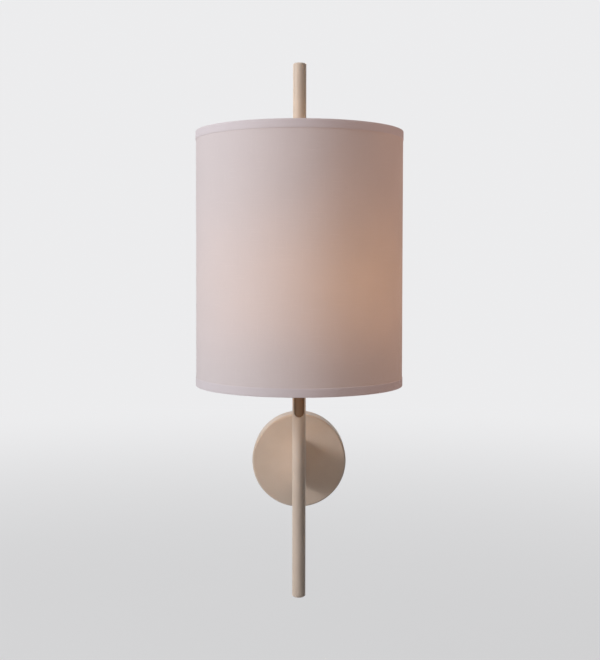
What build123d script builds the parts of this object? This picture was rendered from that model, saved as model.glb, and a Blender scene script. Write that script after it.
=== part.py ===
from build123d import *
import math
import os

# Wall light with a drum shade on an upright rod.
# Millimetres, +Z up, the light faces -Y and the wall is the plane Y = 0.
# The origin is on the wall, in the middle of the round cover.

# ---------------------------------------------------------------- driving sizes
ROD_TO_WALL = 115.0
ROD_RADIUS = 6.5
ROD_WALL = 1.2
ROD_TOP = 404.0
ROD_BOTTOM = -116.0
ROD_CHAMFER = 1.0

COVER_RADIUS = 50.0
COVER_DEPTH = 25.0
COVER_WALL = 1.2
COVER_EDGE = 2.2

ARM_HEIGHT = 50.0
ARM_THICKNESS = 6.0
ARM_WALL = 1.0

SHADE_RADIUS = 100.0
SHADE_HEIGHT = 244.0
SHADE_BOTTOM = 93.0
FABRIC = 0.5
LINER = 0.8
TRIM = 0.7
TRIM_HEIGHT = 8.0
GLUE = 0.1
WIRE_RADIUS = 1.5

LAMP_OFFSET = 28.0
LAMP_SEAT = 118.0
BULB_RADIUS = 17.5
BULB_TIP = 244.0
LEAD_RADIUS = 0.9
LEAD_GAP = 1.4

# Usual sizes of the small screws.
M4_RADIUS = 2.0
M4_NUT_RADIUS = 3.5
M4_NUT = 3.2
SET_SCREW_RADIUS = 1.5
SET_SCREW_HEX = 0.85
SET_SCREW_HEX_DEPTH = 1.4

# ---------------------------------------------------------------- sizes that follow
ROD_BORE = ROD_RADIUS - ROD_WALL
SHADE_TOP = SHADE_BOTTOM + SHADE_HEIGHT
ROD_FRAME = Plane((0, -ROD_TO_WALL, 0), x_dir=(1, 0, 0), z_dir=(0, -1, 0))
LAMP_FRAME = Plane((LAMP_OFFSET, -ROD_TO_WALL, 0), x_dir=(1, 0, 0), z_dir=(0, -1, 0))
ROD_AXIS = Axis((0, -ROD_TO_WALL, 0), (0, 0, 1))
LAMP_AXIS = Axis((LAMP_OFFSET, -ROD_TO_WALL, 0), (0, 0, 1))


def level(height):
    """Horizontal plane centred on the rod."""
    return Plane((0, -ROD_TO_WALL, height))


def lamp_level(height):
    """Horizontal plane centred on the bulb."""
    return Plane((LAMP_OFFSET, -ROD_TO_WALL, height))


def save(builder, name):
    """Label a finished piece and write it."""
    builder.part.label = name
    export_step(builder.part, f"parts/{name}.step")


os.makedirs("parts", exist_ok=True)

# ---------------------------------------------------------------- wall bracket
# Steel plate with two forward tabs that the cover slides over.
PLATE = 2.0
PLATE_RADIUS = 42.0
PLATE_HEIGHT = 48.0
TAB_REACH = 47.6
TAB_INSIDE = TAB_REACH - PLATE
TAB_WIDTH = 14.0
TAB_DEPTH = 18.0
TAB_BEND = 3.0
TAB_CORNER = 4.0
SLOT_SPACING = 60.0
SLOT_LENGTH = 10.0
SLOT_WIDTH = 4.5
CABLE_HOLE_RADIUS = 8.0
CABLE_HOLE_Z = 8.0
EARTH_X = 22.0
EARTH_Z = 17.0
GRUB_Y = -12.0
GRUB_RADIUS = 2.0
BLOCK_SCREW_X = -4.5
BLOCK_SCREW_RADIUS = 1.25
BLOCK_Z = -13.0

with BuildPart() as wall_bracket:
    with BuildSketch(Plane.XZ):
        Circle(PLATE_RADIUS)
        Rectangle(2 * PLATE_RADIUS, PLATE_HEIGHT, mode=Mode.INTERSECT)
    extrude(amount=PLATE)
    with BuildSketch(Plane.XY):
        with Locations((0, -TAB_DEPTH / 2)):
            Rectangle(2 * TAB_REACH, TAB_DEPTH)
        with Locations((0, -PLATE)):
            Rectangle(2 * TAB_INSIDE, TAB_DEPTH, align=(Align.CENTER, Align.MAX), mode=Mode.SUBTRACT)
    extrude(amount=TAB_WIDTH / 2, both=True)
    rear_edges = wall_bracket.edges().filter_by(Axis.Z).group_by(Axis.Y)[-1]
    fillet(rear_edges.filter_by(lambda edge: abs(edge.center().X) > PLATE_RADIUS), TAB_BEND)
    with BuildSketch(Plane.XZ):
        with GridLocations(SLOT_SPACING, 0, 2, 1):
            SlotOverall(SLOT_LENGTH, SLOT_WIDTH)
        with Locations((0, CABLE_HOLE_Z)):
            Circle(CABLE_HOLE_RADIUS)
        with Locations((EARTH_X, EARTH_Z)):
            Circle(M4_RADIUS)
        with Locations((BLOCK_SCREW_X, BLOCK_Z)):
            Circle(BLOCK_SCREW_RADIUS)
    extrude(amount=PLATE, mode=Mode.SUBTRACT)
    with BuildSketch(Plane.YZ):
        with Locations((GRUB_Y, 0)):
            Circle(GRUB_RADIUS)
    extrude(amount=TAB_REACH, both=True, mode=Mode.SUBTRACT)
    tab_ends = wall_bracket.edges().filter_by(Axis.X).group_by(Axis.Y)[0]
    fillet(tab_ends, TAB_CORNER)
save(wall_bracket, "wall_bracket")

# Screw and washer that take the house earth lead.
EARTH_SHANK = 3.0
EARTH_HEAD_RADIUS = 3.8
EARTH_HEAD = 2.6
EARTH_HEAD_SLOPE = 1.2
WASHER_RADIUS = 4.5
WASHER = 0.8

with BuildPart() as earth_screw:
    with BuildSketch(Plane.XZ):
        with Locations((EARTH_X, EARTH_Z)):
            Circle(M4_RADIUS)
    extrude(amount=PLATE + EARTH_SHANK)
    with BuildSketch(Plane.XZ.offset(PLATE)):
        with Locations((EARTH_X, EARTH_Z)):
            Circle(WASHER_RADIUS)
            Circle(M4_RADIUS, mode=Mode.SUBTRACT)
    extrude(amount=WASHER)
    with BuildSketch(Plane.XZ.offset(PLATE + EARTH_SHANK)):
        with Locations((EARTH_X, EARTH_Z)):
            Circle(EARTH_HEAD_RADIUS)
    extrude(amount=EARTH_HEAD)
    chamfer(earth_screw.edges().group_by(Axis.Y)[0], EARTH_HEAD_SLOPE)
save(earth_screw, "earth_screw")

# ---------------------------------------------------------------- terminal block
# Three towers on one web. Each holds a brass clamp with a lead's end and two screws.
POLES = 3
POLE_PITCH = 9.0
POLE_GAP = 2.4
BLOCK_HEIGHT = 17.0
BLOCK_DEPTH = 14.0
BLOCK_WEB = 8.0
BLOCK_CHAMFER = 0.8
BLOCK_HEAD_RADIUS = 2.0
BLOCK_HEAD = 1.5
BLOCK_HEAD_SLOPE = 0.5
BLOCK_HEAD_ROOM = 0.2
CLAMP_SIZE = 4.6
CLAMP_ROOM = 0.1
CLAMP_BORE = 1.5
CLAMP_LENGTH = 14.0
CLAMP_SCREW_SPACING = 8.4
CLAMP_SCREW_RADIUS = 1.2
CLAMP_SCREW_LENGTH = 4.0
CLAMP_THREAD_RADIUS = 1.25
SCREW_WELL_RADIUS = 1.6
WIRE_Y = -PLATE - 6.0
SCREW_WELL = BLOCK_DEPTH + PLATE + WIRE_Y
BLOCK_FLOOR = Plane((0, 0, BLOCK_Z - BLOCK_HEIGHT / 2))
BLOCK_FRONT = Plane((0, -PLATE - BLOCK_DEPTH, BLOCK_Z), x_dir=(1, 0, 0), z_dir=(0, -1, 0))

with BuildPart() as terminal_block:
    with BuildSketch(BLOCK_FLOOR):
        with Locations((0, -PLATE)):
            Rectangle(POLES * POLE_PITCH, BLOCK_WEB, align=(Align.CENTER, Align.MAX))
        with Locations((0, -PLATE - BLOCK_DEPTH / 2)):
            with GridLocations(POLE_PITCH, 0, POLES, 1):
                Rectangle(POLE_PITCH - POLE_GAP, BLOCK_DEPTH)
    extrude(amount=BLOCK_HEIGHT)
    chamfer(terminal_block.edges().group_by(Axis.Y)[0], BLOCK_CHAMFER)
    with BuildSketch(BLOCK_FLOOR):
        with Locations((0, WIRE_Y)):
            with GridLocations(POLE_PITCH, 0, POLES, 1):
                Rectangle(CLAMP_SIZE + CLAMP_ROOM, CLAMP_SIZE + CLAMP_ROOM)
    extrude(amount=BLOCK_HEIGHT, mode=Mode.SUBTRACT)
    with BuildSketch(BLOCK_FRONT):
        with GridLocations(POLE_PITCH, CLAMP_SCREW_SPACING, POLES, 2):
            Circle(SCREW_WELL_RADIUS)
    extrude(amount=-SCREW_WELL, mode=Mode.SUBTRACT)
    with BuildSketch(BLOCK_FRONT):
        with GridLocations(2 * BLOCK_SCREW_X, 0, 2, 1):
            Circle(BLOCK_SCREW_RADIUS)
    extrude(amount=-BLOCK_DEPTH, mode=Mode.SUBTRACT)
    with BuildSketch(BLOCK_FRONT):
        with GridLocations(2 * BLOCK_SCREW_X, 0, 2, 1):
            Circle(BLOCK_HEAD_RADIUS + BLOCK_HEAD_ROOM)
    extrude(amount=BLOCK_WEB - BLOCK_DEPTH, mode=Mode.SUBTRACT)
save(terminal_block, "terminal_block")

with BuildPart() as terminal_clamps:
    with BuildSketch(Plane((0, WIRE_Y, BLOCK_Z - CLAMP_LENGTH / 2))):
        with GridLocations(POLE_PITCH, 0, POLES, 1):
            Rectangle(CLAMP_SIZE, CLAMP_SIZE)
            Circle(CLAMP_BORE, mode=Mode.SUBTRACT)
    extrude(amount=CLAMP_LENGTH)
    with BuildSketch(BLOCK_FRONT):
        with GridLocations(POLE_PITCH, CLAMP_SCREW_SPACING, POLES, 2):
            Circle(CLAMP_THREAD_RADIUS)
    extrude(amount=-SCREW_WELL, mode=Mode.SUBTRACT)
save(terminal_clamps, "terminal_clamps")

with BuildPart() as terminal_screws:
    with BuildSketch(Plane((0, WIRE_Y - LEAD_RADIUS, BLOCK_Z), x_dir=(1, 0, 0), z_dir=(0, -1, 0))):
        with GridLocations(POLE_PITCH, CLAMP_SCREW_SPACING, POLES, 2):
            Circle(CLAMP_SCREW_RADIUS)
    extrude(amount=CLAMP_SCREW_LENGTH)
save(terminal_screws, "terminal_screws")

with BuildPart() as block_screw:
    with BuildSketch(Plane.XZ):
        with Locations((BLOCK_SCREW_X, BLOCK_Z)):
            Circle(BLOCK_SCREW_RADIUS)
    extrude(amount=PLATE + BLOCK_WEB)
    with BuildSketch(Plane.XZ.offset(PLATE + BLOCK_WEB)):
        with Locations((BLOCK_SCREW_X, BLOCK_Z)):
            Circle(BLOCK_HEAD_RADIUS)
    extrude(amount=BLOCK_HEAD)
    chamfer(block_screw.edges().group_by(Axis.Y)[0], BLOCK_HEAD_SLOPE)
save(block_screw, "block_screw")

# ---------------------------------------------------------------- wall cover
# Drawn steel cup with a soft front edge and a slot for the arm.
COVER_FACE = COVER_DEPTH - COVER_WALL
GRUB_ROOM = 0.3

with BuildPart() as cover:
    with BuildSketch(Plane.XZ):
        Circle(COVER_RADIUS)
    extrude(amount=COVER_DEPTH)
    fillet(cover.edges().group_by(Axis.Y)[0], COVER_EDGE)
    offset(amount=-COVER_WALL, openings=cover.faces().sort_by(Axis.Y)[-1])
    with BuildSketch(Plane.XZ.offset(COVER_DEPTH)):
        SlotOverall(ARM_HEIGHT, ARM_THICKNESS, rotation=90)
    extrude(amount=-2 * COVER_WALL, mode=Mode.SUBTRACT)
    with BuildSketch(Plane.YZ):
        with Locations((GRUB_Y, 0)):
            Circle(GRUB_RADIUS + GRUB_ROOM)
    extrude(amount=COVER_RADIUS, both=True, mode=Mode.SUBTRACT)
save(cover, "cover")

# Socket screws, just under the cover's side, that grip the bracket's tabs.
GRUB_LENGTH = 6.0
GRUB_SUNK = 0.4
GRUB_HEX = 1.15
GRUB_HEX_DEPTH = 2.2
GRUB_END = Plane.YZ.offset(COVER_RADIUS - GRUB_SUNK)

with BuildPart() as cover_grub_screws:
    with BuildSketch(GRUB_END):
        with Locations((GRUB_Y, 0)):
            Circle(GRUB_RADIUS)
    extrude(amount=-GRUB_LENGTH)
    with BuildSketch(GRUB_END):
        with Locations((GRUB_Y, 0)):
            RegularPolygon(GRUB_HEX, 6)
    extrude(amount=-GRUB_HEX_DEPTH, mode=Mode.SUBTRACT)
    mirror(about=Plane.YZ)
save(cover_grub_screws, "cover_grub_screws")

# ---------------------------------------------------------------- arm
# Flat oval tube from the cover to the rod, coped to the rod's curve.
# A steel foot is welded round its end and clamps behind the cover's face.
FOOT = 2.0
FOOT_WIDTH = 32.0
FOOT_HEIGHT = 68.0
FOOT_CORNER = 6.0
ARM_START = COVER_FACE - FOOT
ARM_BORE_HEIGHT = ARM_HEIGHT - 2 * ARM_WALL
ARM_BORE_THICKNESS = ARM_THICKNESS - 2 * ARM_WALL
EARTH_STUD_X = 10.0
EARTH_STUD_Z = 20.0

with BuildPart() as arm_foot:
    with BuildSketch(Plane.XZ.offset(ARM_START)):
        RectangleRounded(FOOT_WIDTH, FOOT_HEIGHT, FOOT_CORNER)
        SlotOverall(ARM_HEIGHT, ARM_THICKNESS, rotation=90, mode=Mode.SUBTRACT)
        with Locations((EARTH_STUD_X, EARTH_STUD_Z)):
            Circle(M4_RADIUS, mode=Mode.SUBTRACT)
    extrude(amount=FOOT)
save(arm_foot, "arm_foot")

with BuildPart() as arm_blade:
    with BuildSketch(Plane.XZ.offset(ARM_START)):
        SlotOverall(ARM_HEIGHT, ARM_THICKNESS, rotation=90)
        SlotOverall(ARM_BORE_HEIGHT, ARM_BORE_THICKNESS, rotation=90, mode=Mode.SUBTRACT)
    extrude(amount=ROD_TO_WALL - ARM_START)
    with BuildSketch(level(-ARM_HEIGHT)):
        Circle(ROD_RADIUS)
        Rectangle(2 * ROD_RADIUS, ROD_RADIUS, align=(Align.CENTER, Align.MAX))
    extrude(amount=2 * ARM_HEIGHT, mode=Mode.SUBTRACT)
save(arm_blade, "arm_blade")

# Earth stud with its nut, and the crimped ring tag under the nut.
STUD_LENGTH = 12.0
TAG = 0.8
TAG_RADIUS = 3.8
TAG_NECK_WIDTH = 2.6
TAG_NECK_LENGTH = 7.0
TAG_BARREL_RADIUS = 1.5
TAG_BARREL_LENGTH = 6.0
TAG_BARREL_Z = 8.0
TAG_FRONT = Plane.XZ.offset(ARM_START - TAG)
TAG_LEAD_Y = TAG - ARM_START + 0.7

with BuildPart() as earth_stud:
    with BuildSketch(Plane.XZ.offset(COVER_FACE)):
        with Locations((EARTH_STUD_X, EARTH_STUD_Z)):
            Circle(M4_RADIUS)
    extrude(amount=-STUD_LENGTH)
    with BuildSketch(TAG_FRONT):
        with Locations((EARTH_STUD_X, EARTH_STUD_Z)):
            RegularPolygon(M4_NUT_RADIUS, 6, major_radius=False)
    extrude(amount=-M4_NUT)
save(earth_stud, "earth_stud")

with BuildPart() as earth_tag:
    with BuildSketch(TAG_FRONT):
        with Locations((EARTH_STUD_X, EARTH_STUD_Z)):
            Circle(TAG_RADIUS)
            Rectangle(TAG_NECK_WIDTH, TAG_NECK_LENGTH, align=(Align.CENTER, Align.MAX))
            Circle(M4_RADIUS, mode=Mode.SUBTRACT)
    extrude(amount=TAG)
    with BuildSketch(Plane((EARTH_STUD_X, TAG_LEAD_Y, TAG_BARREL_Z))):
        Circle(TAG_BARREL_RADIUS)
        Circle(LEAD_RADIUS, mode=Mode.SUBTRACT)
    extrude(amount=TAG_BARREL_LENGTH)
save(earth_tag, "earth_tag")

# ---------------------------------------------------------------- rod
# The leads enter at the back and leave at the side. A round-ended window is cut in the front.
CAP = 2.0
CAP_SPIGOT = 8.0
LEAD_SLOT_MIDDLE = 9.0
LEAD_SLOT_HEIGHT = 22.0
LEAD_SLOT_WIDTH = 4.0
WINDOW_LOW = 61.0
WINDOW_HEIGHT = 34.0
WINDOW_WIDTH = 9.4
WINDOW_MIDDLE = WINDOW_LOW + WINDOW_HEIGHT / 2
GROMMET_Z = 99.0
GROMMET_RADIUS = 3.6
GROMMET_BORE = 2.6
GROMMET_BODY = 2.4
GROMMET_FLANGE = 1.6
GROMMET_FLANGE_RADIUS = 5.0
GROMMET_SLOPE = 0.6

with BuildPart() as rod_tube:
    with BuildSketch(level(ROD_BOTTOM + CAP)):
        Circle(ROD_RADIUS)
        Circle(ROD_BORE, mode=Mode.SUBTRACT)
    extrude(amount=ROD_TOP - ROD_BOTTOM - 2 * CAP)
    with BuildSketch(ROD_FRAME):
        with Locations((0, LEAD_SLOT_MIDDLE)):
            SlotOverall(LEAD_SLOT_HEIGHT, LEAD_SLOT_WIDTH, rotation=90)
    extrude(amount=-2 * ROD_RADIUS, mode=Mode.SUBTRACT)
    with BuildSketch(ROD_FRAME):
        with Locations((0, WINDOW_MIDDLE)):
            SlotOverall(WINDOW_HEIGHT, WINDOW_WIDTH, rotation=90)
    extrude(amount=2 * ROD_RADIUS, mode=Mode.SUBTRACT)
    with BuildSketch(Plane.YZ):
        with Locations((-ROD_TO_WALL, GROMMET_Z)):
            Circle(GROMMET_RADIUS)
    extrude(amount=2 * ROD_RADIUS, mode=Mode.SUBTRACT)
save(rod_tube, "rod_tube")

# Inner pipe that guards the leads. It sits in the rod's bore and shows in the window.
PIPE_WALL = 1.0
PIPE_LOW = 24.0
PIPE_HIGH = 94.0

with BuildPart() as lead_pipe:
    with BuildSketch(level(PIPE_LOW)):
        Circle(ROD_BORE)
        Circle(ROD_BORE - PIPE_WALL, mode=Mode.SUBTRACT)
    extrude(amount=PIPE_HIGH - PIPE_LOW)
save(lead_pipe, "lead_pipe")


def rod_cap(end, inward, name):
    """Turned plug, chamfered outside, with a spigot in the rod's bore."""
    with BuildPart() as cap:
        with BuildSketch(ROD_FRAME):
            with BuildLine():
                Polyline(
                    (0, end),
                    (ROD_RADIUS - ROD_CHAMFER, end),
                    (ROD_RADIUS, end + inward * ROD_CHAMFER),
                    (ROD_RADIUS, end + inward * CAP),
                    (ROD_BORE, end + inward * CAP),
                    (ROD_BORE, end + inward * (CAP + CAP_SPIGOT)),
                    (0, end + inward * (CAP + CAP_SPIGOT)),
                    close=True,
                )
            make_face()
        revolve(axis=ROD_AXIS)
    save(cap, name)


rod_cap(ROD_TOP, -1, "rod_top_cap")
rod_cap(ROD_BOTTOM, 1, "rod_bottom_cap")

# Bush that lines the rod's side hole where the leads leave it.
with BuildPart() as rod_grommet:
    with BuildSketch(Plane.YZ.offset(ROD_RADIUS - GROMMET_BODY)):
        with Locations((-ROD_TO_WALL, GROMMET_Z)):
            Circle(GROMMET_RADIUS)
    extrude(amount=GROMMET_BODY)
    with BuildSketch(Plane.YZ.offset(ROD_RADIUS)):
        with Locations((-ROD_TO_WALL, GROMMET_Z)):
            Circle(GROMMET_FLANGE_RADIUS)
    extrude(amount=GROMMET_FLANGE)
    chamfer(rod_grommet.edges().group_by(Axis.X)[-1], GROMMET_SLOPE)
    with BuildSketch(Plane.YZ):
        with Locations((-ROD_TO_WALL, GROMMET_Z)):
            Circle(GROMMET_BORE)
    extrude(amount=2 * ROD_RADIUS, mode=Mode.SUBTRACT)
save(rod_grommet, "rod_grommet")

# ---------------------------------------------------------------- lampholder
HOLDER_ARM = 8.0
HOLDER_ARM_Z = LAMP_SEAT - HOLDER_ARM
HOLDER_ARM_CHAMFER = 0.6
ROD_EYE_WALL = 4.0
NIPPLE_EYE_WALL = 3.5
NIPPLE_RADIUS = 5.0
NIPPLE_BORE = 4.0
NIPPLE_BELOW = 5.0
NIPPLE_ABOVE = 8.0
NUT = 3.0
NUT_RADIUS = 7.0

# Side arm that grips the rod and carries the lampholder beside it.
with BuildPart() as holder_arm:
    with BuildSketch(level(HOLDER_ARM_Z)):
        Circle(ROD_RADIUS + ROD_EYE_WALL)
        with Locations((LAMP_OFFSET, 0)):
            Circle(NIPPLE_RADIUS + NIPPLE_EYE_WALL)
        make_hull()
    extrude(amount=HOLDER_ARM)
    upright_edges = holder_arm.edges().filter_by(Axis.Z)
    chamfer(holder_arm.edges() - upright_edges, HOLDER_ARM_CHAMFER)
    with BuildSketch(level(HOLDER_ARM_Z)):
        Circle(ROD_RADIUS)
        with Locations((LAMP_OFFSET, 0)):
            Circle(NIPPLE_RADIUS)
    extrude(amount=HOLDER_ARM, mode=Mode.SUBTRACT)
    with BuildSketch(Plane.YZ):
        with Locations((-ROD_TO_WALL, HOLDER_ARM_Z + HOLDER_ARM / 2)):
            Circle(SET_SCREW_RADIUS)
    extrude(amount=-2 * ROD_RADIUS, mode=Mode.SUBTRACT)
save(holder_arm, "holder_arm")


def rod_grip_screw(height, length, name):
    """Socket set screw that bears on the rod from the left."""
    with BuildPart() as screw:
        with BuildSketch(Plane.YZ.offset(-ROD_RADIUS)):
            with Locations((-ROD_TO_WALL, height)):
                Circle(SET_SCREW_RADIUS)
        extrude(amount=-length)
        with BuildSketch(Plane.YZ.offset(-ROD_RADIUS - length)):
            with Locations((-ROD_TO_WALL, height)):
                RegularPolygon(SET_SCREW_HEX, 6)
        extrude(amount=SET_SCREW_HEX_DEPTH, mode=Mode.SUBTRACT)
        with BuildSketch(level(height)):
            Circle(ROD_RADIUS)
        extrude(amount=SET_SCREW_RADIUS, both=True, mode=Mode.SUBTRACT)
    save(screw, name)


rod_grip_screw(HOLDER_ARM_Z + HOLDER_ARM / 2, ROD_EYE_WALL - 0.2, "holder_arm_screw")

with BuildPart() as nipple:
    with BuildSketch(lamp_level(HOLDER_ARM_Z - NIPPLE_BELOW)):
        Circle(NIPPLE_RADIUS)
        Circle(NIPPLE_BORE, mode=Mode.SUBTRACT)
    extrude(amount=NIPPLE_BELOW + HOLDER_ARM + NIPPLE_ABOVE)
save(nipple, "nipple")

with BuildPart() as nipple_nut:
    with BuildSketch(lamp_level(HOLDER_ARM_Z - NUT)):
        RegularPolygon(NUT_RADIUS, 6, major_radius=False)
        Circle(NIPPLE_RADIUS, mode=Mode.SUBTRACT)
    extrude(amount=NUT)
save(nipple_nut, "nipple_nut")

# Base of the lampholder, a moulded cup with a boss on the nipple.
HOLDER_RADIUS = 14.0
HOLDER_WALL = 1.4
HOLDER_BORE = HOLDER_RADIUS - HOLDER_WALL
HOLDER_SPLIT = LAMP_SEAT + 20.0
HOLDER_MOUTH = LAMP_SEAT + 50.0
BOSS_RADIUS = 8.5
BOSS_HEIGHT = 3.0
DOME_RADIUS = 8.0
CUP_LOW = LAMP_SEAT + BOSS_HEIGHT

with BuildPart() as holder_base:
    with BuildSketch(lamp_level(CUP_LOW)):
        Circle(HOLDER_RADIUS)
    extrude(amount=HOLDER_SPLIT - CUP_LOW)
    fillet(holder_base.edges().group_by(Axis.Z)[0], DOME_RADIUS)
    offset(amount=-HOLDER_WALL, openings=holder_base.faces().sort_by(Axis.Z)[-1])
    with BuildSketch(lamp_level(LAMP_SEAT)):
        Circle(BOSS_RADIUS)
    extrude(amount=BOSS_HEIGHT + HOLDER_WALL)
    with BuildSketch(lamp_level(LAMP_SEAT)):
        Circle(NIPPLE_RADIUS)
    extrude(amount=BOSS_HEIGHT + HOLDER_WALL, mode=Mode.SUBTRACT)
save(holder_base, "holder_base")

# Plain skirt. Its spigot screws down inside the base and clamps the core.
SPIGOT = 6.0
SPIGOT_WALL = 1.2
SKIRT_BORE = HOLDER_BORE - SPIGOT_WALL
MOUTH_RADIUS = 9.6
MOUTH_CHAMFER = 1.5

with BuildPart() as holder_skirt:
    with BuildSketch(lamp_level(HOLDER_SPLIT)):
        Circle(HOLDER_RADIUS)
    extrude(amount=HOLDER_MOUTH - HOLDER_SPLIT)
    chamfer(holder_skirt.edges().group_by(Axis.Z)[-1], MOUTH_CHAMFER)
    with BuildSketch(lamp_level(HOLDER_SPLIT - SPIGOT)):
        Circle(HOLDER_BORE)
    extrude(amount=SPIGOT)
    with BuildSketch(lamp_level(HOLDER_SPLIT - SPIGOT)):
        Circle(SKIRT_BORE)
    extrude(amount=HOLDER_MOUTH - HOLDER_WALL - HOLDER_SPLIT + SPIGOT, mode=Mode.SUBTRACT)
    with BuildSketch(lamp_level(HOLDER_SPLIT)):
        Circle(MOUTH_RADIUS)
    extrude(amount=HOLDER_MOUTH - HOLDER_SPLIT, mode=Mode.SUBTRACT)
save(holder_skirt, "holder_skirt")

# Ceramic core, with its flange on the cup's curve, a seat for the sleeve and a well for the contact.
CORE_LOW = CUP_LOW + DOME_RADIUS
CORE_STEP = LAMP_SEAT + 25.0
CORE_BODY_RADIUS = SKIRT_BORE - 0.1
CORE_NECK_RADIUS = 9.4
CORE_COLLAR = 12.0
SLEEVE_BORE = 7.15
SLEEVE_RADIUS = 7.7
SLEEVE_LOW = LAMP_SEAT + 29.0
SLEEVE_HEIGHT = 15.5
WELL_RADIUS = 5.2
WELL_FLOOR = SLEEVE_LOW - 3.2
LEAD_END_Z = LAMP_SEAT + 17.5

with BuildPart() as holder_core:
    with BuildSketch(lamp_level(CORE_LOW)):
        Circle(HOLDER_BORE)
    extrude(amount=HOLDER_SPLIT - SPIGOT - CORE_LOW)
    with BuildSketch(lamp_level(CORE_LOW)):
        Circle(CORE_BODY_RADIUS)
    extrude(amount=CORE_STEP - CORE_LOW)
    with BuildSketch(lamp_level(CORE_STEP)):
        Circle(CORE_NECK_RADIUS)
    extrude(amount=SLEEVE_LOW + CORE_COLLAR - CORE_STEP)
    with BuildSketch(lamp_level(SLEEVE_LOW)):
        Circle(SLEEVE_RADIUS)
    extrude(amount=CORE_COLLAR, mode=Mode.SUBTRACT)
    with BuildSketch(lamp_level(WELL_FLOOR)):
        Circle(WELL_RADIUS)
    extrude(amount=SLEEVE_LOW - WELL_FLOOR, mode=Mode.SUBTRACT)
    with BuildSketch(lamp_level(CORE_LOW)):
        with GridLocations(0, 2 * LEAD_GAP, 1, 2):
            Circle(LEAD_RADIUS)
    extrude(amount=LEAD_END_Z - CORE_LOW, mode=Mode.SUBTRACT)
save(holder_core, "holder_core")

with BuildPart() as thread_sleeve:
    with BuildSketch(lamp_level(SLEEVE_LOW)):
        Circle(SLEEVE_RADIUS)
        Circle(SLEEVE_BORE, mode=Mode.SUBTRACT)
    extrude(amount=SLEEVE_HEIGHT)
save(thread_sleeve, "thread_sleeve")

# Springy centre contact, a bent strip that stands under the bulb's tip.
CONTACT = 0.4
CONTACT_WIDTH = 3.6
CONTACT_FOOT = 4.4
CONTACT_HEEL = 3.8
CONTACT_LEAN = 1.4
CONTACT_BEND = 0.7
CONTACT_LOW = WELL_FLOOR + CONTACT / 2
CONTACT_HIGH = CONTACT_LOW + 4.4

with BuildPart() as centre_contact:
    with BuildSketch(LAMP_FRAME):
        with BuildLine():
            FilletPolyline(
                (CONTACT_FOOT, CONTACT_LOW),
                (-CONTACT_HEEL, CONTACT_LOW),
                (CONTACT_LEAN - CONTACT_HEEL, CONTACT_HIGH),
                (CONTACT_FOOT / 2, CONTACT_HIGH),
                radius=CONTACT_BEND,
            )
        trace(line_width=CONTACT)
    extrude(amount=CONTACT_WIDTH / 2, both=True)
save(centre_contact, "centre_contact")

# ---------------------------------------------------------------- bulb
# Candle bulb with a screw cap and four light-giving sticks.
TIP_LOW = CONTACT_HIGH + CONTACT / 2 + 0.05
TIP_RADIUS = 2.3
TIP = 1.2
TIP_SLOPE = 0.6
INSULATOR_RADIUS = 3.2
CAP_LOW = TIP_LOW + 4.0
CAP_HIGH = LAMP_SEAT + 48.0
CAP_RADIUS = 6.8
CAP_MOUTH_RADIUS = 5.8
CAP_METAL = 0.5
CAP_FLARE = 3.0
CAP_SKIRT = 6.5
NECK_RADIUS = 8.0

with BuildPart() as bulb_contact:
    with BuildSketch(lamp_level(TIP_LOW)):
        Circle(TIP_RADIUS)
    extrude(amount=TIP)
    chamfer(bulb_contact.edges().group_by(Axis.Z)[0], TIP_SLOPE)
save(bulb_contact, "bulb_contact")

with BuildPart() as bulb_insulator:
    with BuildSketch(lamp_level(TIP_LOW + TIP)):
        Circle(INSULATOR_RADIUS)
    with BuildSketch(lamp_level(CAP_LOW)):
        Circle(CAP_MOUTH_RADIUS)
    loft()
save(bulb_insulator, "bulb_insulator")

# Screw cap, drawn in one piece with the skirt that holds the glass.
with BuildPart() as bulb_cap:
    with BuildSketch(LAMP_FRAME):
        with BuildLine():
            Polyline(
                (CAP_MOUTH_RADIUS, CAP_LOW),
                (CAP_RADIUS, CAP_LOW + 2 * CAP_METAL),
                (CAP_RADIUS, CAP_HIGH - CAP_FLARE),
                (NECK_RADIUS + CAP_METAL, CAP_HIGH),
                (NECK_RADIUS + CAP_METAL, CAP_HIGH + CAP_SKIRT),
                (NECK_RADIUS, CAP_HIGH + CAP_SKIRT),
                (NECK_RADIUS, CAP_HIGH + CAP_METAL),
                (CAP_RADIUS - CAP_METAL, CAP_HIGH - CAP_FLARE + CAP_METAL),
                (CAP_RADIUS - CAP_METAL, CAP_LOW + 3 * CAP_METAL),
                (CAP_MOUTH_RADIUS, CAP_LOW + CAP_METAL),
                close=True,
            )
        make_face()
    revolve(axis=LAMP_AXIS)
save(bulb_cap, "bulb_cap")

# Blown candle glass, open at the neck: a straight neck, a belly and a drawn tip.
GLASS_LOW = LAMP_SEAT + 51.0
GLASS_WALL = 0.8
GLASS_NECK = NECK_RADIUS - 0.1
NECK_TOP = GLASS_LOW + 5.0
GLASS_WIDE_Z = GLASS_LOW + 26.0
SHOULDER_RADIUS = 6.0
SHOULDER_Z = BULB_TIP - 9.0


def blown_profile(inset):
    """Half outline of the blown glass, moved inwards by inset."""
    with BuildSketch(LAMP_FRAME) as half:
        with BuildLine():
            Line((0, GLASS_LOW), (GLASS_NECK - inset, GLASS_LOW))
            Line((GLASS_NECK - inset, GLASS_LOW), (GLASS_NECK - inset, NECK_TOP))
            Spline(
                (GLASS_NECK - inset, NECK_TOP),
                (BULB_RADIUS - inset, GLASS_WIDE_Z),
                (SHOULDER_RADIUS - inset, SHOULDER_Z - inset / 2),
                (0, BULB_TIP - inset),
                tangents=((0, 1), (-1, 0)),
            )
            Line((0, BULB_TIP - inset), (0, GLASS_LOW))
        make_face()
    return half.sketch


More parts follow.
